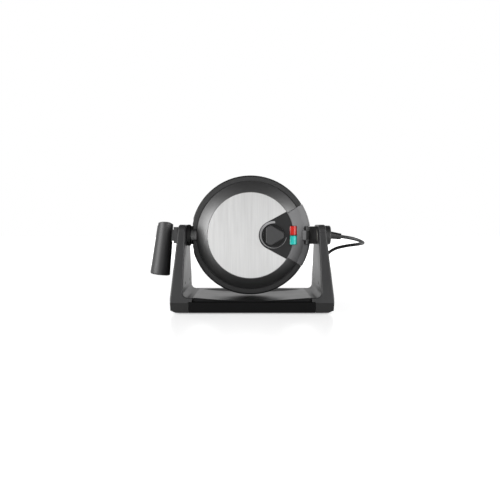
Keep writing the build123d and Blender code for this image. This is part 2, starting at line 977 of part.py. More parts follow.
def upright_shell():
    """Moulded shell of one upright and its foot, with hub, screw bosses and pad."""
    shell = extrude(Plane.XZ * front_outline(), base_half_depth, both=True)
    shell &= across(side_outline(), 0, 2 * widest_half)
    shell = fillet(upright_edges(shell), edge_round)
    shell -= upright_hollow()
    shell -= foot_hollow(0)
    back = inner_half + cover_thickness
    shell += along_x(hub_radius, back, pad_half, 0, pivot_height)
    for side in (-1, 1):
        y = side * cover_screw_depth
        end = outer_at(cover_screw_height) - shell_wall / 2
        shell += along_x(cover_boss_radius, back, end, y, cover_screw_height)
        hole_end = inner_half + cover_screw_length + 1
        shell -= along_x(cover_screw_radius + seat_gap, back, hole_end, y, cover_screw_height)
        y = side * base_screw_depth
        low = foot_base + base_plate_thickness
        shell += upwards(base_boss_radius, low, foot_pocket_top + 1, plate_middle(), y)
        hole_end = foot_base + base_screw_length + 1
        shell -= upwards(base_screw_radius + seat_gap, low, hole_end, plate_middle(), y)
    return shell - along_x(bush_radius + running_fit, back, pad_half, 0, pivot_height)


def upright_cover():
    """Inner cover of an upright, round the bush and over the screw bosses."""
    cover = across(cover_outline(seam_gap), inner_half, inner_half + cover_thickness)
    cover -= along_x(bush_radius + running_fit, inner_half - 1, pad_half, 0, pivot_height)
    for side in (-1, 1):
        y = side * cover_screw_depth
        sink = inner_half + cover_screw_sink
        cover -= along_x(cover_screw_head + seat_gap, inner_half - 1, sink, y, cover_screw_height)
        cover -= along_x(cover_screw_radius + seat_gap, inner_half, pad_half, y, cover_screw_height)
    return cover


def bush():
    """Plain bush through the cover, the hub and the pad."""
    sleeve = along_x(bush_radius, inner_half, pad_half, 0, pivot_height)
    return sleeve - along_x(journal_radius + running_fit, inner_half, pad_half, 0, pivot_height)


def cover_screws():
    """Two screws of one cover."""
    screws = []
    for side in (-1, 1):
        y = side * cover_screw_depth
        sink = inner_half + cover_screw_sink
        screw = along_x(cover_screw_head, inner_half + screw_recess, sink, y, cover_screw_height)
        screw += along_x(cover_screw_radius, sink, inner_half + cover_screw_length, y, cover_screw_height)
        screws.append(screw)
    return screws


def base_plate():
    """Plate that closes a foot from below."""
    top = foot_base + base_plate_thickness
    sink = foot_base + base_plate_thickness / 2
    reach = 2 * widest_half
    plate = foot_hollow(seam_gap) & block((0, reach), (-reach, reach), (0, top))
    for side in (-1, 1):
        y = side * base_screw_depth
        plate -= upwards(base_screw_head + seat_gap, 0, sink, plate_middle(), y)
        plate -= upwards(base_screw_radius + seat_gap, 0, top + 1, plate_middle(), y)
    return plate


def base_screws():
    """Two screws of one base plate."""
    screws = []
    for side in (-1, 1):
        y = side * base_screw_depth
        sink = foot_base + base_plate_thickness / 2
        screw = upwards(base_screw_head, foot_base + screw_recess, sink, plate_middle(), y)
        screw += upwards(base_screw_radius, sink, foot_base + base_screw_length, plate_middle(), y)
        screws.append(screw)
    return screws


def rubber_feet():
    """Two rubber feet of one side."""
    return [upwards(foot_radius, 0, foot_base, plate_middle(), side * foot_depth) for side in (-1, 1)]


def both_sides(pieces):
    """Right and left copies as one group of solids."""
    pieces = pieces if isinstance(pieces, list) else [pieces]
    return Compound(pieces + [mirror(piece, Plane.YZ) for piece in pieces])


# Base between the feet
def base_crossbar():
    """Moulded bar between the feet: front and back rail, with a deck for the tray."""
    half = seam_half - rail_seam
    bar = block((-half, half), (-base_half_depth, base_half_depth), (foot_base, rail_top))
    bar = fillet(bar.edges().filter_by(Axis.X).group_by(Axis.Z)[-1], rail_edge)
    deck_half = base_half_depth - rail_width
    bar -= block((-half - 1, half + 1), (-deck_half, deck_half), (deck_height, rail_top + 1))
    inside = half - shell_wall
    inside_depth = base_half_depth - shell_wall
    low = deck_height - deck_thickness
    return bar - block((-inside, inside), (-inside_depth, inside_depth), (foot_base - 1, low))


def below_valley(half_length, half_depth, low):
    """Block under the tray's top: a wide valley, open at the front, that a ramp ends at the back."""
    sag = tray_rim - tray_dip
    radius = (tray_valley_half ** 2 + sag ** 2) / (2 * sag)
    axis_height = tray_dip + radius
    past = 2 * base_half_depth
    profile = Polyline(
        (0, -past),
        (radius, -past),
        (radius, tray_ramp_start),
        (radius - sag, tray_ramp_end),
        (radius - sag, tray_ramp_end + 1),
        (0, tray_ramp_end + 1),
        close=True,
    )
    valley = revolve(make_face(profile), Axis.Y)
    solid = block((-half_length, half_length), (-half_depth, half_depth), (low, tray_rim))
    return solid - Pos(0, 0, axis_height) * valley


def tray_wall(inset, thickness, low):
    """Upright wall all round under the tray."""
    x = tray_half_length - inset
    y = tray_half_depth - inset
    wall = block((-x, x), (-y, y), (low, tray_rim))
    x -= thickness
    y -= thickness
    return wall - block((-x, x), (-y, y), (low - 1, tray_rim + 1))


def drip_tray():
    """Thin tray with an apron under its lip, standing on a skirt on the crossbar's deck."""
    top = below_valley(tray_half_length, tray_half_depth, deck_height)
    under = below_valley(tray_half_length + 1, tray_half_depth + 1, deck_height - 5)
    tray = top - Pos(0, 0, -tray_thickness) * under
    skirt = tray_wall(skirt_inset, skirt_wall, deck_height)
    apron = tray_wall(apron_inset, apron_wall, rail_top + seam_gap)
    return tray + (skirt & top) + (apron & top)


# Cord cap, strain relief, cord and plug
def cord_cap():
    """Round cap over the end of the hollow trunnion."""
    end = right_pad + cap_length
    cap = along_x(cap_radius, right_pad, end)
    cap = chamfer(cap.faces().sort_by(Axis.X)[-1].edges(), cap_edge)
    cap -= along_x(cap_radius - cap_wall, right_pad, end - cap_wall)
    cap -= along_x(relief_neck_radius + running_fit, right_pad, end)
    return Pos(0, 0, pivot_height) * cap


def relief_axis():
    """Direction of the cord where it leaves the drooping strain relief."""
    return Vector(cos(radians(relief_droop)), 0, -sin(radians(relief_droop)))


def relief_end():
    """Middle of the strain relief's tip."""
    root = Vector(right_pad + cap_length + relief_gap, 0, pivot_height)
    return root + relief_axis() * relief_length


def strain_relief():
    """Tapered sleeve that droops a little, held by a flange inside the cap."""
    outside = right_pad + cap_length
    inside = outside - cap_wall - seat_gap
    root = outside + relief_gap
    neck = along_x(relief_flange_radius, inside - relief_flange, inside)
    neck += along_x(relief_neck_radius, inside, root)
    taper = spun_x([
        (0, 0),
        (0, relief_root_radius),
        (relief_length, relief_tip_radius),
        (relief_length, 0),
    ])
    sleeve = neck + Pos(root, 0, 0) * Rot(0, relief_droop, 0) * taper
    return Pos(0, 0, pivot_height) * sleeve


def tube_on(points):
    """Cord along straight runs and tangent arcs, each as large as its runs allow."""
    points = [Vector(*p) for p in points]
    runs = [(b - a) for a, b in zip(points, points[1:])]
    radii = []
    for before, after in zip(runs, runs[1:]):
        turn = radians(before.get_angle(after))
        radii.append(bend_share * min(before.length, after.length) / tan(turn / 2))
    print("radii of the cord's bends, mm:", [round(radius) for radius in radii])
    path = FilletPolyline(*points, radius=radii)
    start = Plane(origin=points[0], z_dir=runs[0])
    return sweep(start * Circle(cord_radius), path=path)


floor_line = cord_radius + floor_gap
coil_start = (coil_center[0] + coil_lead, coil_center[1] - coil_radius, floor_line)


def cord():
    """Free stretch: out of the strain relief, round behind the right upright and down to the coil."""
    first = relief_end()
    return tube_on([
        first,
        first + relief_axis() * cord_lead,
        (219.5, 13, 127.5),
        (228, 37.5, 123.5),
        (219.5, 62, 120.5),
        (198, 78, 117),
        (174, 87, 110.5),
        (155, 93.5, 93),
        (147.5, 97, 66),
        (140.5, 101, 37),
        (124, 105.5, 13),
        (95, 111, 3.6),
        (64, 116, floor_line),
        (33, 121, floor_line),
        (2, 125.5, floor_line),
        (coil_start[0] + coil_run, coil_start[1], floor_line),
        coil_start,
    ])


def coil_point(turn):
    """Middle of the cord in the coil after a number of turns."""
    reversal = coil_turns / 2
    radius = coil_radius - coil_draw_in * (reversal - abs(turn - reversal))
    climb = min(max((turn - reversal) / coil_climb + 0.5, 0), 1)
    height = floor_line + coil_layer * climb * climb * (3 - 2 * climb)
    angle = -pi / 2 - 2 * pi * turn
    return Vector(coil_center[0] + radius * cos(angle), coil_center[1] + radius * sin(angle), height)


def coil_heading(turn):
    """Direction of the cord in the coil, square to what it meets at the two ends."""
    if turn == 0:
        return Vector(-1, 0, 0)
    if turn == coil_turns:
        return Vector(1, 0, 0)
    step = 0.001
    return (coil_point(turn + step) - coil_point(turn - step)).normalized()


def biarc(p0, t0, p1, t1):
    """Two tangent arcs between two points with given directions."""
    v = p1 - p0
    t = t0 + t1
    spread = 2 * (1 - t0.dot(t1))
    along = v.dot(t)
    d = (sqrt(along * along + spread * v.dot(v)) - along) / spread
    middle = (p0 + t0 * d + p1 - t1 * d) * 0.5
    first = TangentArc(p0, middle, tangent=t0)
    return [first, TangentArc(middle, p1, tangent=first % 1)]


def cord_coil():
    """The put-away length as one unbroken tube in two layers."""
    quarters = round(coil_turns * 4)
    path = [Line(coil_start, coil_point(0))]
    for i in range(quarters):
        a = i / 4
        b = (i + 1) / 4
        path += biarc(coil_point(a), coil_heading(a), coil_point(b), coil_heading(b))
    last = coil_point(coil_turns)
    path.append(Line(last, last + Vector(coil_lead, 0, 0)))
    samples = [coil_point(i / coil_samples) for i in range(round(coil_turns * coil_samples) + 1)]
    apart = coil_samples // 2
    least = min((a - b).length for i, a in enumerate(samples) for b in samples[i + apart:])
    print("coil's least gap to itself, mm:", round(least - 2 * cord_radius, 2))
    start = Plane(origin=coil_start, z_dir=(-1, 0, 0))
    return sweep(start * Circle(cord_radius), path=Wire(path))


coil_end = coil_point(coil_turns) + Vector(coil_lead, 0, 0)
plug_height = plug_radius + floor_gap
plug_start = coil_end.X + 2 * tail_run + tail_rise


def cord_tail():
    """Short stretch from the coil up to the plug."""
    y = coil_end.Y
    return tube_on([
        coil_end,
        (coil_end.X + tail_run, y, coil_end.Z),
        (plug_start - tail_run, y, plug_height),
        (plug_start, y, plug_height),
    ])


def plug_body():
    """Round moulded plug with a tapered tail, lying on its side."""
    tail_end = plug_start + plug_tail_length
    taper_end = tail_end + plug_taper_length
    front = taper_end + plug_body_length
    body = spun_x([
        (plug_start, 0),
        (plug_start, plug_tail_radius),
        (tail_end, plug_shoulder_radius),
        (taper_end, plug_radius - plug_edge),
        (taper_end + plug_edge, plug_radius),
        (front - plug_edge, plug_radius),
        (front, plug_radius - plug_edge),
        (front, 0),
    ])
    return Pos(0, coil_end.Y, plug_height) * body


def plug_pins():
    """Two round contact pins."""
    front = plug_start + plug_tail_length + plug_taper_length + plug_body_length
    pins = []
    for side in (-1, 1):
        y = coil_end.Y + side * pin_spacing / 2
        pins.append(along_x(pin_radius, front, front + pin_length, y, plug_height))
    return Compound(pins)


def on_stand(piece):
    return Pos(stand_shift, 0, 0) * piece


def left(piece):
    return mirror(piece, Plane.YZ)


front_shell, back_shell = grip_shells()

nodes = {
    "left_upright_shell": on_stand(left(upright_shell())),
    "right_upright_shell": on_stand(upright_shell()),
    "left_upright_cover": on_stand(left(upright_cover())),
    "right_upright_cover": on_stand(upright_cover()),
    "left_bush": on_stand(left(bush())),
    "right_bush": on_stand(bush()),
    "cover_screws": on_stand(both_sides(cover_screws())),
    "left_base_plate": on_stand(left(base_plate())),
    "right_base_plate": on_stand(base_plate()),
    "base_screws": on_stand(both_sides(base_screws())),
    "rubber_feet": on_stand(both_sides(rubber_feet())),
    "base_crossbar": on_stand(base_crossbar()),
    "drip_tray": on_stand(drip_tray()),
    "cord_cap": cord_cap(),
    "strain_relief": strain_relief(),
    "cord": cord(),
    "cord_coil": cord_coil(),
    "cord_tail": cord_tail(),
    "plug_body": plug_body(),
    "plug_pins": plug_pins(),
    "rear_housing": stand_up(rear_housing()),
    "rear_steel_cover": stand_up(rear(steel_disc())),
    "rear_waffle_plate": stand_up(rear(waffle_plate())),
    "rear_plate_screws": stand_up(rear(plate_screws())),
    "rear_heating_element": stand_up(rear(heating_element())),
    "left_trunnion": stand_up(left_trunnion()),
    "trunnion_cross_pin": stand_up(cross_pin(0)),
    "handle_knuckle": stand_up(handle_knuckle()),
    "hinge_block": stand_up(hinge_block()),
    "hinge_pin": stand_up(hinge_pin()),
    "retaining_clip": stand_up(retaining_clip()),
    "lock_ring": stand_up(lock_ring()),
    "lid_housing": stand_up(lid_housing()),
    "lid_boss": stand_up(lid_boss()),
    "control_housing": stand_up(control_housing()),
    "lid_steel_cover": stand_up(lid_steel_cover()),
    "control_panel": stand_up(control_panel()),
    "lid_waffle_plate": stand_up(waffle_plate()),
    "lid_plate_screws": stand_up(plate_screws()),
    "lid_heating_element": stand_up(heating_element()),
    "red_lens": stand_up(lens(1)),
    "green_lens": stand_up(lens(-1)),
    "lamp_board": stand_up(lamp_board()),
    "thermostat": stand_up(thermostat()),
    "knob": stand_up(knob()),
    "knob_shaft": stand_up(knob_shaft()),
    "handle_front_shell": hang_handle(front_shell),
    "handle_back_shell": hang_handle(back_shell),
    "handle_pin": hang_handle(handle_pin()),
    "handle_screws": hang_handle(Compound(handle_screws_flat())),
}

os.makedirs("parts", exist_ok=True)
for name, solid in nodes.items():
    export_step(Pos(outline_shift, 0, 0) * solid, "parts/" + name + ".step")
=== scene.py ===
# Rotating waffle maker: finishes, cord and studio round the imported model, in metres, lid towards -Y
import math

import bpy
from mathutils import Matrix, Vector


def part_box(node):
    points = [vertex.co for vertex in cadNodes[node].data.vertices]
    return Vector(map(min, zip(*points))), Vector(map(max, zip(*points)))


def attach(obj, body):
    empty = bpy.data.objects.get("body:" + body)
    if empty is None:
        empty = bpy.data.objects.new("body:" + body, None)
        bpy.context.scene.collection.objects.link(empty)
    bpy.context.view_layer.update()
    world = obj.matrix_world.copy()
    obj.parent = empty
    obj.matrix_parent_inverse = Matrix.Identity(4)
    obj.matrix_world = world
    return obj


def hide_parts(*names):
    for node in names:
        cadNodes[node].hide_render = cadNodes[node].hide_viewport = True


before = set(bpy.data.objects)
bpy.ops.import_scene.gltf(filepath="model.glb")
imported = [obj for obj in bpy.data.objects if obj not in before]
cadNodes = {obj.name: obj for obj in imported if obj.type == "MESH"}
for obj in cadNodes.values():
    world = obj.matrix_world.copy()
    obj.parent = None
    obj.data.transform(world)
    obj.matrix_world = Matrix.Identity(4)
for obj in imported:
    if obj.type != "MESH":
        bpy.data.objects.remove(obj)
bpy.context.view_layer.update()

headX = 0.01945             # middle of the round head
axisHeight = 0.1405         # level axis that the head turns about
knobX = 0.06365             # middle of the knob
mergeDistance = 0.00001     # points nearer than this become one


# small helpers for modelling by hand
def clearSelection():
    if bpy.context.object and bpy.context.object.mode != "OBJECT":
        bpy.ops.object.mode_set(mode="OBJECT")
    bpy.ops.object.select_all(action="DESELECT")


def nameNew(name):
    piece = bpy.context.object
    piece.name = name
    piece.data.name = name
    return piece


def pickFaces(piece, test):
    bpy.ops.object.mode_set(mode="EDIT")
    bpy.ops.mesh.select_mode(type="FACE")
    bpy.ops.mesh.select_all(action="DESELECT")
    bpy.ops.object.mode_set(mode="OBJECT")
    for face in piece.data.polygons:
        face.select = test(face)
    bpy.ops.object.mode_set(mode="EDIT")


def settle(piece):
    # place goes into the mesh, as on a CAD node
    bpy.ops.object.mode_set(mode="OBJECT")
    clearSelection()
    piece.select_set(True)
    bpy.context.view_layer.objects.active = piece
    bpy.ops.object.transform_apply(location=True, rotation=True, scale=True)


def addWall(piece, thickness, offset):
    wall = piece.modifiers.new("wall", "SOLIDIFY")
    wall.thickness = thickness
    wall.offset = offset


def applyModifiers(piece):
    bpy.context.view_layer.objects.active = piece
    for modifier in list(piece.modifiers):
        bpy.ops.object.modifier_apply(modifier=modifier.name)


def tidyNormals(piece):
    bpy.context.view_layer.objects.active = piece
    bpy.ops.object.mode_set(mode="EDIT")
    bpy.ops.mesh.select_all(action="SELECT")
    bpy.ops.mesh.remove_doubles(threshold=mergeDistance)
    bpy.ops.mesh.normals_make_consistent(inside=False)
    bpy.ops.object.mode_set(mode="OBJECT")


# camera at the photo's viewing angle
cameraSetup = {
    "place": (headX, -1.1, 0.158),
    "pitchDown": 2.42,
    "lens": 40.73,
    "sensor": 36.0,
}
clearSelection()
bpy.ops.object.camera_add(
    location=cameraSetup["place"],
    rotation=(math.radians(90 - cameraSetup["pitchDown"]), 0, 0),
)
camera = bpy.context.object
camera.name = "camera"
camera.data.lens = cameraSetup["lens"]
camera.data.sensor_width = cameraSetup["sensor"]
bpy.context.scene.camera = camera
print("camera placed")


# mains cord: out of the strain relief, round behind the right upright, along the floor to a tied coil
mainsCord = {
    "radius": 0.00325,
    "length": 1.05,
    "route": [
        (0.19596, 0.0, 0.13772),
        (0.22071, 0.0, 0.13424),
        (0.23995, 0.013, 0.1275),
        (0.24845, 0.0375, 0.1235),
        (0.23995, 0.062, 0.1205),
        (0.21845, 0.078, 0.117),
        (0.19445, 0.087, 0.1105),
        (0.17545, 0.0935, 0.093),
        (0.16795, 0.097, 0.066),
        (0.16095, 0.101, 0.037),
        (0.14445, 0.1055, 0.013),
        (0.11545, 0.111, 0.0036),
        (0.08445, 0.116, 0.0033),
        (0.05345, 0.121, 0.0033),
        (0.02245, 0.1255, 0.0033),
        (-0.01405, 0.1285, 0.0033),
        (-0.04505, 0.1285, 0.0033),
    ],
    "coilMiddle": (-0.05155, 0.168),
    "coilRadius": 0.0395,
    "coilTurns": 2.5,
    "drawIn": 0.007,        # a turn's step inwards, and outwards again on the second layer
    "layer": 0.007,
    "climb": 0.5,
    "floorLine": 0.0033,
    "pointsPerTurn": 16,
    "lead": 0.0065,
    "tailRun": 0.015,
    "tailRise": 0.022,
    "plugLine": 0.01825,
    "stepsPerPoint": 8,
    "roundness": 6,
}


def coilPoint(turn):
    half = mainsCord["coilTurns"] / 2
    radius = mainsCord["coilRadius"] - mainsCord["drawIn"] * (half - abs(turn - half))
    lift = min(max((turn - half) / mainsCord["climb"] + 0.5, 0), 1)
    lift = lift * lift * (3 - 2 * lift)
    angle = -math.pi / 2 - 2 * math.pi * turn
    middle = mainsCord["coilMiddle"]
    return (
        middle[0] + radius * math.cos(angle),
        middle[1] + radius * math.sin(angle),
        mainsCord["floorLine"] + mainsCord["layer"] * lift,
    )


def layCord():
    points = list(mainsCord["route"])
    steps = round(mainsCord["coilTurns"] * mainsCord["pointsPerTurn"])
    points += [coilPoint(i / mainsCord["pointsPerTurn"]) for i in range(steps + 1)]
    x, y, z = points[-1]
    x += mainsCord["lead"]
    plugStart = x + 2 * mainsCord["tailRun"] + mainsCord["tailRise"]
    points += [
        (x, y, z),
        (x + mainsCord["tailRun"], y, z),
        (plugStart - mainsCord["tailRun"], y, mainsCord["plugLine"]),
        (plugStart, y, mainsCord["plugLine"]),
    ]
    line = bpy.data.curves.new("mainsCord", "CURVE")
    line.dimensions = "3D"
    spline = line.splines.new("NURBS")
    spline.points.add(len(points) - 1)
    for spot, point in zip(spline.points, points):
        spot.co = (*point, 1)
        spot.radius = mainsCord["radius"]
    spline.order_u = 3      # set after the points, or the runs stay straight
    spline.use_endpoint_u = True
    spline.resolution_u = mainsCord["stepsPerPoint"]
    line.bevel_depth = 1.0  # times each point's own radius
    line.bevel_resolution = mainsCord["roundness"]
    line.use_fill_caps = True
    cord = bpy.data.objects.new("mainsCord", line)
    bpy.context.scene.collection.objects.link(cord)
    return cord


cordPiece = layCord()
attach(cordPiece, "stand")
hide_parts("cord", "cord_coil", "cord_tail")
print("cord laid")

# tie round the coil
coilTie = {
    "width": 0.008,
    "thickness": 0.0006,
    "turnRadius": 0.0343,   # middle of the turns that it holds
    "halfReach": 0.0073,
    "halfHeight": 0.0071,
    "sides": 28,
    "edge": 0.00015,
    "edgeSteps": 2,
    "smoothAngle": 40,
}
coilX, coilY = mainsCord["coilMiddle"]
clearSelection()
bpy.ops.mesh.primitive_cylinder_add(
    vertices=coilTie["sides"], radius=1, depth=coilTie["width"], end_fill_type="NOTHING",
    location=(coilX - coilTie["turnRadius"], coilY, coilTie["halfHeight"]),
    rotation=(math.radians(90), 0, 0),
)
tiePiece = nameNew("coilTie")
tiePiece.scale = (coilTie["halfReach"], coilTie["halfHeight"], 1)
settle(tiePiece)
addWall(tiePiece, coilTie["thickness"], -1)
soft = tiePiece.modifiers.new("soft", "BEVEL")
soft.width = coilTie["edge"]
soft.segments = coilTie["edgeSteps"]
applyModifiers(tiePiece)
bpy.ops.object.shade_smooth_by_angle(angle=math.radians(coilTie["smoothAngle"]))
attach(tiePiece, "stand")
print("tie made")


# browning scale printed round the knob, thick at the upper left and thin at the lower right
heatScale = {
    "middle": (knobX, -0.03025, 0.1417),
    "outer": 0.0257,
    "inner": 0.02335,
    "shift": 0.0019,
    "thickDirection": 120,
    "start": 82,            # degrees from the right, counted anticlockwise
    "end": 348,
    "paint": 0.00012,
    "sides": 180,
}


def scaleAngle(face):
    return math.degrees(math.atan2(face.center.y, face.center.x)) % 360


clearSelection()
bpy.ops.mesh.primitive_circle_add(
    vertices=heatScale["sides"], radius=heatScale["outer"], fill_type="NOTHING",
)
scalePiece = nameNew("heatScale")
bpy.ops.object.mode_set(mode="EDIT")
away = math.radians(heatScale["thickDirection"])
bpy.ops.mesh.primitive_circle_add(
    vertices=heatScale["sides"], radius=heatScale["inner"], fill_type="NOTHING",
    location=(-heatScale["shift"] * math.cos(away), -heatScale["shift"] * math.sin(away), 0),
)
bpy.ops.mesh.select_all(action="SELECT")
bpy.ops.mesh.bridge_edge_loops()
pickFaces(scalePiece, lambda face: not heatScale["start"] < scaleAngle(face) < heatScale["end"])
bpy.ops.mesh.delete(type="FACE")
bpy.ops.mesh.select_all(action="SELECT")
bpy.ops.mesh.normals_make_consistent(inside=False)
bpy.ops.object.mode_set(mode="OBJECT")
scalePiece.rotation_euler = (math.radians(90), 0, 0)
scalePiece.location = heatScale["middle"]
settle(scalePiece)
addWall(scalePiece, heatScale["paint"], 0)
applyModifiers(scalePiece)
tidyNormals(scalePiece)
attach(scalePiece, "lid")
print("scale printed")


# shader groups shared by the finishes
surface = {
    "driftScale": 35,       # broad drift of tone over a moulding
    "grainDepth": 0.0002,
    "lineDepth": 0.0001,
    "patchBlur": 0.0006,    # soft margin inside a patch
    "edgeSamples": 4,
}


def newGroup(name, inputs, outputs):
    group = bpy.data.node_groups.new(name, "ShaderNodeTree")
    for side, sockets in (("INPUT", inputs), ("OUTPUT", outputs)):
        for label, kind in sockets.items():
            group.interface.new_socket(label, in_out=side, socket_type="NodeSocket" + kind)
    return group, group.nodes.new("NodeGroupInput"), group.nodes.new("NodeGroupOutput")


def addMath(tree, operation, first, second):
    node = tree.nodes.new("ShaderNodeMath")
    node.operation = operation
    for place, value in enumerate((first, second)):
        if isinstance(value, (int, float)):
            node.inputs[place].default_value = value
        else:
            tree.links.new(value, node.inputs[place])
    return node.outputs[0]


def addFade(tree, value, low, high, first, last):
    node = tree.nodes.new("ShaderNodeMapRange")
    node.interpolation_type = "SMOOTHSTEP"
    node.inputs["From Min"].default_value = low
    node.inputs["From Max"].default_value = high
    node.inputs["To Min"].default_value = first
    node.inputs["To Max"].default_value = last
    tree.links.new(value, node.inputs["Value"])
    return node.outputs["Result"]


def addVector(tree, operation, first, second=None):
    node = tree.nodes.new("ShaderNodeVectorMath")
    node.operation = operation
    tree.links.new(first, node.inputs[0])
    if second is not None:
        tree.links.new(second, node.inputs[1])
    return node.outputs["Vector"]


def addNoise(tree, vector, scale, detail, roughness=0.5):
    node = tree.nodes.new("ShaderNodeTexNoise")
    node.inputs["Detail"].default_value = detail
    node.inputs["Roughness"].default_value = roughness
    tree.links.new(vector, node.inputs["Vector"])
    if isinstance(scale, (int, float)):
        node.inputs["Scale"].default_value = scale
    else:
        tree.links.new(scale, node.inputs["Scale"])
    return node.outputs["Fac"]


def addTint(tree, color, factor):
    node = tree.nodes.new("ShaderNodeVectorMath")
    node.operation = "SCALE"
    tree.links.new(color, node.inputs[0])
    tree.links.new(factor, node.inputs["Scale"])
    return node.outputs["Vector"]


def addRelief(tree, height, strength, edge, depth):
    bevel = tree.nodes.new("ShaderNodeBevel")
    bevel.samples = surface["edgeSamples"]
    tree.links.new(edge, bevel.inputs["Radius"])
    bump = tree.nodes.new("ShaderNodeBump")
    bump.inputs["Distance"].default_value = depth
    tree.links.new(strength, bump.inputs["Strength"])
    tree.links.new(height, bump.inputs["Height"])
    tree.links.new(bevel.outputs["Normal"], bump.inputs["Normal"])
    return bump.outputs["Normal"]


def makeMouldGrain():
    # spark-eroded mould texture: fine grain, broad drift of tone and gloss, softened edges
    group, given, made = newGroup(
        "mouldGrain",
        {"Color": "Color", "Mottle": "Float", "Grain Scale": "Float", "Roughness": "Float",
         "Gloss Drift": "Float", "Relief": "Float", "Edge": "Float"},
        {"Color": "Color", "Roughness": "Float", "Normal": "Vector"},
    )
    spot = group.nodes.new("ShaderNodeTexCoord").outputs["Object"]
    fine = addNoise(group, spot, given.outputs["Grain Scale"], 2)
    broad = addNoise(group, spot, surface["driftScale"], 2)
    both = addMath(group, "ADD", fine, broad)
    swing = addMath(group, "MULTIPLY", addMath(group, "SUBTRACT", both, 1), given.outputs["Mottle"])
    color = addTint(group, given.outputs["Color"], addMath(group, "ADD", swing, 1))
    drift = addMath(group, "MULTIPLY", addMath(group, "SUBTRACT", broad, 0.5), given.outputs["Gloss Drift"])
    gloss = addMath(group, "ADD", given.outputs["Roughness"], drift)
    normal = addRelief(group, fine, given.outputs["Relief"], given.outputs["Edge"], surface["grainDepth"])
    group.links.new(color, made.inputs["Color"])
    group.links.new(gloss, made.inputs["Roughness"])
    group.links.new(normal, made.inputs["Normal"])
    return group


def makeDrawnLines():
    # brushed or drawn metal: long streaks along the direction that the mapping leaves short
    group, given, made = newGroup(
        "drawnLines",
        {"Vector": "Vector", "Color": "Color", "Streak": "Float", "Roughness": "Float",
         "Gloss Drift": "Float", "Relief": "Float", "Edge": "Float"},
        {"Color": "Color", "Roughness": "Float", "Normal": "Vector"},
    )
    fine = addNoise(group, given.outputs["Vector"], 1.0, 4, 0.6)
    swing = addMath(group, "MULTIPLY", addMath(group, "SUBTRACT", fine, 0.5), given.outputs["Streak"])
    color = addTint(group, given.outputs["Color"], addMath(group, "ADD", swing, 1))
    drift = addMath(group, "MULTIPLY", addMath(group, "SUBTRACT", fine, 0.5), given.outputs["Gloss Drift"])
    gloss = addMath(group, "ADD", given.outputs["Roughness"], drift)
    normal = addRelief(group, fine, given.outputs["Relief"], given.outputs["Edge"], surface["lineDepth"])
    group.links.new(color, made.inputs["Color"])
    group.links.new(gloss, made.inputs["Roughness"])
    group.links.new(normal, made.inputs["Normal"])
    return group


def makeBoxPatch():
    # another colour inside a box, for one zone of a moulding, and the zone's mask
    group, given, made = newGroup(
        "boxPatch",
        {"Vector": "Vector", "Middle": "Vector", "Half Size": "Vector", "Color": "Color",
         "Patch Color": "Color"},
        {"Color": "Color", "Mask": "Float"},
    )
    away = addVector(group, "SUBTRACT", given.outputs["Vector"], given.outputs["Middle"])
    past = addVector(group, "SUBTRACT", addVector(group, "ABSOLUTE", away), given.outputs["Half Size"])
    split = group.nodes.new("ShaderNodeSeparateXYZ")
    group.links.new(past, split.inputs["Vector"])
    most = addMath(group, "MAXIMUM", split.outputs["X"], split.outputs["Y"])
    most = addMath(group, "MAXIMUM", most, split.outputs["Z"])
    mix = group.nodes.new("ShaderNodeMix")
    mix.data_type = "RGBA"
    mask = addFade(group, most, -surface["patchBlur"], 0, 1, 0)
    group.links.new(mask, mix.inputs["Factor"])
    group.links.new(given.outputs["Color"], mix.inputs["A"])
    group.links.new(given.outputs["Patch Color"], mix.inputs["B"])
    group.links.new(mix.outputs["Result"], made.inputs["Color"])
    group.links.new(mask, made.inputs["Mask"])
    return group


mouldGrain = makeMouldGrain()
drawnLines = makeDrawnLines()
boxPatch = makeBoxPatch()
print("shader groups made")


# zones of one moulding that have another colour, two of them painted shade
patches = {
    "bezel": {"middle": (headX, -0.0455, axisHeight), "halfSize": (0.12, 0.031, 0.12),
              "color": (0.006, 0.006, 0.0062)},
    # painted shade: the lower band of each upright shell darker, for the dark reflections there
    "paintedShadeFootBand": {"middle": (0.0231, 0, 0.01), "halfSize": (0.2, 0.1, 0.0102),
                 "color": (0.004, 0.004, 0.004)},
    # painted shade: the knob's skirt near black round its lighter top, for the shade in the recess round
    # the knob
    "paintedShadeKnobSkirt": {"middle": (knobX, -0.0275, axisHeight), "halfSize": (0.03, 0.0075, 0.03),
                  "color": (0.002, 0.002, 0.002)},
    "hingeEnd": {"middle": (0.137, -0.015, axisHeight), "halfSize": (0.0107, 0.03, 0.0174),
                 "color": (0.006, 0.006, 0.006)},
}

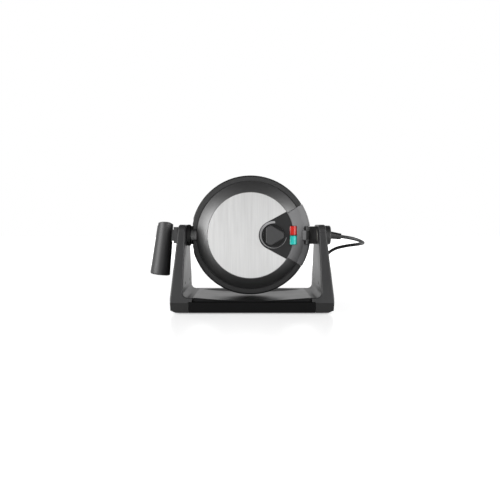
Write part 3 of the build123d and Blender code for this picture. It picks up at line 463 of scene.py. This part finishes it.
# finishes
plasticDrift = 0.08         # swing of gloss over a moulding
plasticFinishes = {
    "satinBlack": {"color": (0.014, 0.014, 0.0145), "rough": 0.42, "specular": 0.5, "mottle": 0.25,
                   "grain": 1500, "relief": 0.12, "edge": 0.0007},
    "gripBlack": {"color": (0.014, 0.014, 0.0145), "rough": 0.5, "specular": 0.45, "mottle": 0.3,
                  "grain": 1100, "relief": 0.2, "edge": 0.0007},
    "panelBlack": {"color": (0.009, 0.009, 0.0093), "rough": 0.4, "specular": 0.22, "mottle": 0.12,
                   "grain": 2400, "relief": 0.05, "edge": 0.0004},
    "lidBlack": {"color": (0.005, 0.005, 0.0052), "rough": 0.48, "specular": 0.42, "mottle": 0.2,
                 "grain": 1500, "relief": 0.12, "edge": 0.0007,
                 "patch": "bezel", "lacquer": {"rough": 0.46, "ior": 1.75}},
    "shellBlack": {"color": (0.019, 0.019, 0.0195), "rough": 0.42, "specular": 0.27, "mottle": 0.25,
                   "grain": 1500, "relief": 0.12, "edge": 0.0007,
                   "patch": "paintedShadeFootBand"},
    "knobBlack": {"color": (0.03, 0.03, 0.0305), "rough": 0.36, "specular": 0.25, "mottle": 0.12,
                  "grain": 2000, "relief": 0.06, "edge": 0.0009,
                  "patch": "paintedShadeKnobSkirt"},
    "wedgeGrey": {"color": (0.105, 0.105, 0.107), "rough": 0.55, "specular": 0.28, "mottle": 0.2,
                  "grain": 1700, "relief": 0.1, "edge": 0.0007,
                  "patch": "hingeEnd"},
    "baseBlack": {"color": (0.002, 0.002, 0.0021), "rough": 0.5, "specular": 0.06, "mottle": 0.25,
                  "grain": 1500, "relief": 0.12, "edge": 0.0007},
    "hingeBlack": {"color": (0.012, 0.012, 0.012), "rough": 0.5, "specular": 0.4, "mottle": 0.25,
                   "grain": 1500, "relief": 0.12, "edge": 0.0006},
    "trayBlack": {"color": (0.005, 0.005, 0.0052), "rough": 0.3, "specular": 0.1, "mottle": 0.08,
                  "grain": 1500, "relief": 0.006, "edge": 0.0008},
    "collarBlack": {"color": (0.006, 0.006, 0.006), "rough": 0.5, "specular": 0.3, "mottle": 0.2,
                    "grain": 1500, "relief": 0.1, "edge": 0.0004},
    "cordSheath": {"color": (0.01, 0.01, 0.0105), "rough": 0.4, "specular": 0.4, "mottle": 0.25,
                   "grain": 900, "relief": 0.1, "edge": 0.0002},
    "blackOxide": {"color": (0.003, 0.003, 0.003), "rough": 0.7, "specular": 0.1, "mottle": 0.2,
                   "grain": 2000, "relief": 0.05, "edge": 0.0002},
    "footRubber": {"color": (0.02, 0.02, 0.02), "rough": 0.75, "specular": 0.3, "mottle": 0.3,
                   "grain": 1500, "relief": 0.2, "edge": 0.0004},
    "nonStick": {"color": (0.018, 0.018, 0.019), "rough": 0.36, "specular": 0.5, "mottle": 0.45,
                 "grain": 700, "relief": 0.25, "edge": 0.0008},
    "bearingCream": {"color": (0.62, 0.6, 0.54), "rough": 0.45, "specular": 0.5, "mottle": 0.06,
                     "grain": 900, "relief": 0.05, "edge": 0.0003},
    "ceramicPale": {"color": (0.7, 0.67, 0.6), "rough": 0.6, "specular": 0.4, "mottle": 0.1,
                    "grain": 1200, "relief": 0.15, "edge": 0.0004},
    "boardGreen": {"color": (0.05, 0.16, 0.06), "rough": 0.45, "specular": 0.5, "mottle": 0.2,
                   "grain": 1500, "relief": 0.1, "edge": 0.0002},
    "scalePrint": {"color": (0.17, 0.17, 0.172), "rough": 0.45, "specular": 0.4, "mottle": 0.1,
                   "grain": 1800, "relief": 0.03, "edge": 0.0001},
}
metalFinishes = {
    "brushedSteel": {"color": (0.58, 0.58, 0.577), "rough": 0.36, "drift": 0.2, "streak": 0.3,
                     "relief": 0.3, "scale": (600, 600, 12), "edge": 0.0003},
    "plainSteel": {"color": (0.5, 0.5, 0.5), "rough": 0.3, "drift": 0.1, "streak": 0.1,
                   "relief": 0.1, "scale": (900, 900, 900), "edge": 0.0002},
    "heaterSteel": {"color": (0.34, 0.31, 0.28), "rough": 0.42, "drift": 0.15, "streak": 0.3,
                    "relief": 0.1, "scale": (300, 300, 300), "edge": 0.0002},
    "pinBrass": {"color": (0.75, 0.6, 0.3), "rough": 0.25, "drift": 0.1, "streak": 0.1,
                 "relief": 0.1, "scale": (20, 1200, 1200), "edge": 0.0004},
}
# painted glow: a faint emission brightens each lens, though no lamp shines in it
lensFinishes = {
    "lensRed": {"node": "red_lens", "color": (0.29, 0.007, 0.004), "paintedShadeEdgeColor": (0.06, 0.003, 0.002),
                "paintedGlow": (0.6, 0.03, 0.015), "strength": 0.06},
    "lensGreen": {"node": "green_lens", "color": (0.009, 0.28, 0.25), "paintedShadeEdgeColor": (0.003, 0.07, 0.06),
                  "paintedGlow": (0.01, 0.4, 0.34), "strength": 0.07},
}
lensMoulding = {"rough": 0.14, "specular": 0.18, "mottle": 0.15, "grain": 120,
                "relief": 0.01, "edge": 0.0012}
lensDrift = 0.05
paintedShadeLensMargin = 0.0007         # painted shade where a lens turns down into its housing
finishes = {}


def newFinish(name):
    material = bpy.data.materials.new(name)
    material.use_nodes = True
    finishes[name] = material
    tree = material.node_tree
    return tree, tree.nodes["Principled BSDF"]


def placeGroup(tree, group, values):
    node = tree.nodes.new("ShaderNodeGroup")
    node.node_tree = group
    for label, value in values.items():
        node.inputs[label].default_value = value
    return node


def joinFinish(tree, node, shader):
    tree.links.new(node.outputs["Color"], shader.inputs["Base Color"])
    tree.links.new(node.outputs["Roughness"], shader.inputs["Roughness"])
    tree.links.new(node.outputs["Normal"], shader.inputs["Normal"])


def mouldedFinish(name, look, color, drift):
    tree, shader = newFinish(name)
    shader.inputs["Specular IOR Level"].default_value = look["specular"]
    grain = placeGroup(tree, mouldGrain, {
        "Color": (*color, 1),
        "Mottle": look["mottle"],
        "Grain Scale": look["grain"],
        "Roughness": look["rough"],
        "Gloss Drift": drift,
        "Relief": look["relief"],
        "Edge": look["edge"],
    })
    joinFinish(tree, grain, shader)
    return tree, shader, grain


def addPatch(tree, grain, zone, color):
    patch = placeGroup(tree, boxPatch, {
        "Middle": zone["middle"],
        "Half Size": zone["halfSize"],
        "Color": (*color, 1),
        "Patch Color": (*zone["color"], 1),
    })
    spot = tree.nodes.new("ShaderNodeTexCoord")
    tree.links.new(spot.outputs["Object"], patch.inputs["Vector"])
    tree.links.new(patch.outputs["Color"], grain.inputs["Color"])
    return patch


def lensFace(node, color):
    # all of a lens but its margin of painted shade, which runs round the outline alone
    lowest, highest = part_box(node)
    middle = [(a + b) / 2 for a, b in zip(lowest, highest)]
    halfSize = [(b - a) / 2 - paintedShadeLensMargin for a, b in zip(lowest, highest)]
    halfSize[1] += 2 * paintedShadeLensMargin
    return {"middle": middle, "halfSize": halfSize, "color": color}


for name, look in plasticFinishes.items():
    tree, shader, grain = mouldedFinish(name, look, look["color"], plasticDrift)
    if "patch" in look:
        patch = addPatch(tree, grain, patches[look["patch"]], look["color"])
        if "lacquer" in look:
            shader.inputs["Coat Roughness"].default_value = look["lacquer"]["rough"]
            shader.inputs["Coat IOR"].default_value = look["lacquer"]["ior"]
            tree.links.new(patch.outputs["Mask"], shader.inputs["Coat Weight"])

for name, look in metalFinishes.items():
    tree, shader = newFinish(name)
    shader.inputs["Metallic"].default_value = 1
    spot = tree.nodes.new("ShaderNodeTexCoord")
    turn = tree.nodes.new("ShaderNodeMapping")
    turn.inputs["Scale"].default_value = look["scale"]
    tree.links.new(spot.outputs["Object"], turn.inputs["Vector"])
    node = placeGroup(tree, drawnLines, {
        "Color": (*look["color"], 1),
        "Streak": look["streak"],
        "Roughness": look["rough"],
        "Gloss Drift": look["drift"],
        "Relief": look["relief"],
        "Edge": look["edge"],
    })
    tree.links.new(turn.outputs["Vector"], node.inputs["Vector"])
    joinFinish(tree, node, shader)

for name, look in lensFinishes.items():
    tree, shader, clear = mouldedFinish(name, lensMoulding, look["paintedShadeEdgeColor"], lensDrift)
    shader.inputs["Emission Color"].default_value = (*look["paintedGlow"], 1)
    shader.inputs["Emission Strength"].default_value = look["strength"]
    addPatch(tree, clear, lensFace(look["node"], look["color"]), look["paintedShadeEdgeColor"])
print("finishes made:", len(finishes))

nodeFinishes = {
    "shellBlack": ["left_upright_shell", "right_upright_shell"],
    "satinBlack": [
        "left_upright_cover", "right_upright_cover",
        "left_base_plate", "right_base_plate", "cord_cap", "rear_housing", "left_trunnion",
        "handle_knuckle",
    ],
    "lidBlack": ["lid_housing", "lid_boss"],
    "wedgeGrey": ["control_housing"],
    "baseBlack": ["base_crossbar"],
    "hingeBlack": ["hinge_block"],
    "gripBlack": ["handle_front_shell", "handle_back_shell"],
    "panelBlack": ["control_panel"],
    "knobBlack": ["knob"],
    "trayBlack": ["drip_tray"],
    "collarBlack": ["lock_ring"],
    "cordSheath": ["strain_relief", "cord", "cord_coil", "cord_tail", "plug_body"],
    "footRubber": ["rubber_feet"],
    "nonStick": ["lid_waffle_plate", "rear_waffle_plate"],
    "bearingCream": ["left_bush", "right_bush"],
    "ceramicPale": ["thermostat"],
    "boardGreen": ["lamp_board"],
    "brushedSteel": ["lid_steel_cover", "rear_steel_cover"],
    "plainSteel": [
        "trunnion_cross_pin", "hinge_pin", "retaining_clip", "lid_plate_screws", "rear_plate_screws",
        "knob_shaft", "handle_pin", "handle_screws", "base_screws",
    ],
    "blackOxide": ["cover_screws"],
    "heaterSteel": ["lid_heating_element", "rear_heating_element"],
    "pinBrass": ["plug_pins"],
    "lensRed": ["red_lens"],
    "lensGreen": ["green_lens"],
}
for finish, members in nodeFinishes.items():
    for member in members:
        for slot in cadNodes[member].material_slots:
            slot.material = finishes[finish]
cordPiece.data.materials.append(finishes["cordSheath"])
tiePiece.data.materials.append(finishes["cordSheath"])
scalePiece.data.materials.append(finishes["scalePrint"])
bare = sorted(set(cadNodes) - {m for members in nodeFinishes.values() for m in members})
print("finishes on nodes, left bare:", bare)


# studio: white floor and surroundings, a soft box on each side
studio = {
    "floorSize": 14.0,
    "floorTone": 0.85,
    "floorRough": 0.24,
    "floorLift": 0.34,
    "floorFade": (0.8, 1.4),    # past here the floor turns as white as the room
    "horizon": 1.0,
    "ceiling": 0.06,
    "wallFade": (0.4, 0.7),     # height at which the white wall turns into the ceiling
    "frontTone": 0.3,           # the dark side of the room, behind the camera
    "frontFade": (-0.9, -0.5),  # from full shade to none, towards the sides
    "frontFoot": (0, 0.14),     # heights at which the shade comes in
    "frontTop": (0.25, 0.5),    # and goes out again
    "leftBox": {"place": (-1.1, -0.86, 0.3), "size": (0.9, 1.1), "watts": 35, "aim": (0.0, 0.0, 0.12)},
    "rightBox": {"place": (1.1, -0.84, 0.36), "size": (0.8, 1.0), "watts": 22, "aim": (0.02, 0.0, 0.12)},
}


def grey(tone):
    return (tone, tone, tone, 1)


def softBox(name, look):
    clearSelection()
    bpy.ops.object.light_add(type="AREA", location=look["place"])
    lamp = bpy.context.object
    lamp.name = name
    lamp.data.shape = "RECTANGLE"
    lamp.data.size, lamp.data.size_y = look["size"]
    lamp.data.energy = look["watts"]
    aim = [to - at for to, at in zip(look["aim"], look["place"])]
    across = math.hypot(aim[0], aim[1])
    lamp.rotation_euler = (math.atan2(across, -aim[2]), 0, math.atan2(-aim[0], aim[1]))


softBox("leftBox", studio["leftBox"])
softBox("rightBox", studio["rightBox"])

clearSelection()
bpy.ops.mesh.primitive_plane_add(size=studio["floorSize"], location=(0, 0, 0))
floor = nameNew("floor")
tree, shader = newFinish("floorWhite")
shader.inputs["Base Color"].default_value = grey(studio["floorTone"])
shader.inputs["Roughness"].default_value = studio["floorRough"]
shader.inputs["Emission Color"].default_value = (1, 1, 1, 1)
path = tree.nodes.new("ShaderNodeLightPath")
seen = addMath(tree, "MAXIMUM", path.outputs["Is Camera Ray"], path.outputs["Is Glossy Ray"])
seen = addMath(tree, "MAXIMUM", seen, path.outputs["Is Transmission Ray"])
spot = tree.nodes.new("ShaderNodeTexCoord")
reach = tree.nodes.new("ShaderNodeVectorMath")
reach.operation = "LENGTH"
tree.links.new(spot.outputs["Object"], reach.inputs[0])
lift = addFade(tree, reach.outputs["Value"], *studio["floorFade"], studio["floorLift"], 1)
tree.links.new(addMath(tree, "MULTIPLY", seen, lift), shader.inputs["Emission Strength"])
floor.data.materials.append(finishes["floorWhite"])

world = bpy.data.worlds.new("studio")
bpy.context.scene.world = world
world.use_nodes = True
tree = world.node_tree
background = tree.nodes["Background"]
spot = tree.nodes.new("ShaderNodeTexCoord")
split = tree.nodes.new("ShaderNodeSeparateXYZ")
ramp = tree.nodes.new("ShaderNodeValToRGB")
wall, ceiling = ramp.color_ramp.elements
wall.position, ceiling.position = studio["wallFade"]
wall.color, ceiling.color = grey(studio["horizon"]), grey(studio["ceiling"])
tree.links.new(spot.outputs["Generated"], split.inputs["Vector"])
tree.links.new(split.outputs["Z"], ramp.inputs["Fac"])
tree.links.new(ramp.outputs["Color"], background.inputs["Color"])
ahead = addFade(tree, split.outputs["Y"], *studio["frontFade"], 1, 0)
foot = addFade(tree, split.outputs["Z"], *studio["frontFoot"], 0, 1)
top = addFade(tree, split.outputs["Z"], *studio["frontTop"], 1, 0)
band = addMath(tree, "MULTIPLY", ahead, addMath(tree, "MULTIPLY", foot, top))
shade = addMath(tree, "MULTIPLY", band, 1 - studio["frontTone"])
tree.links.new(addMath(tree, "SUBTRACT", 1, shade), background.inputs["Strength"])
bpy.context.scene.view_settings.view_transform = "Standard"
print("studio lit")

bpy.context.view_layer.update()
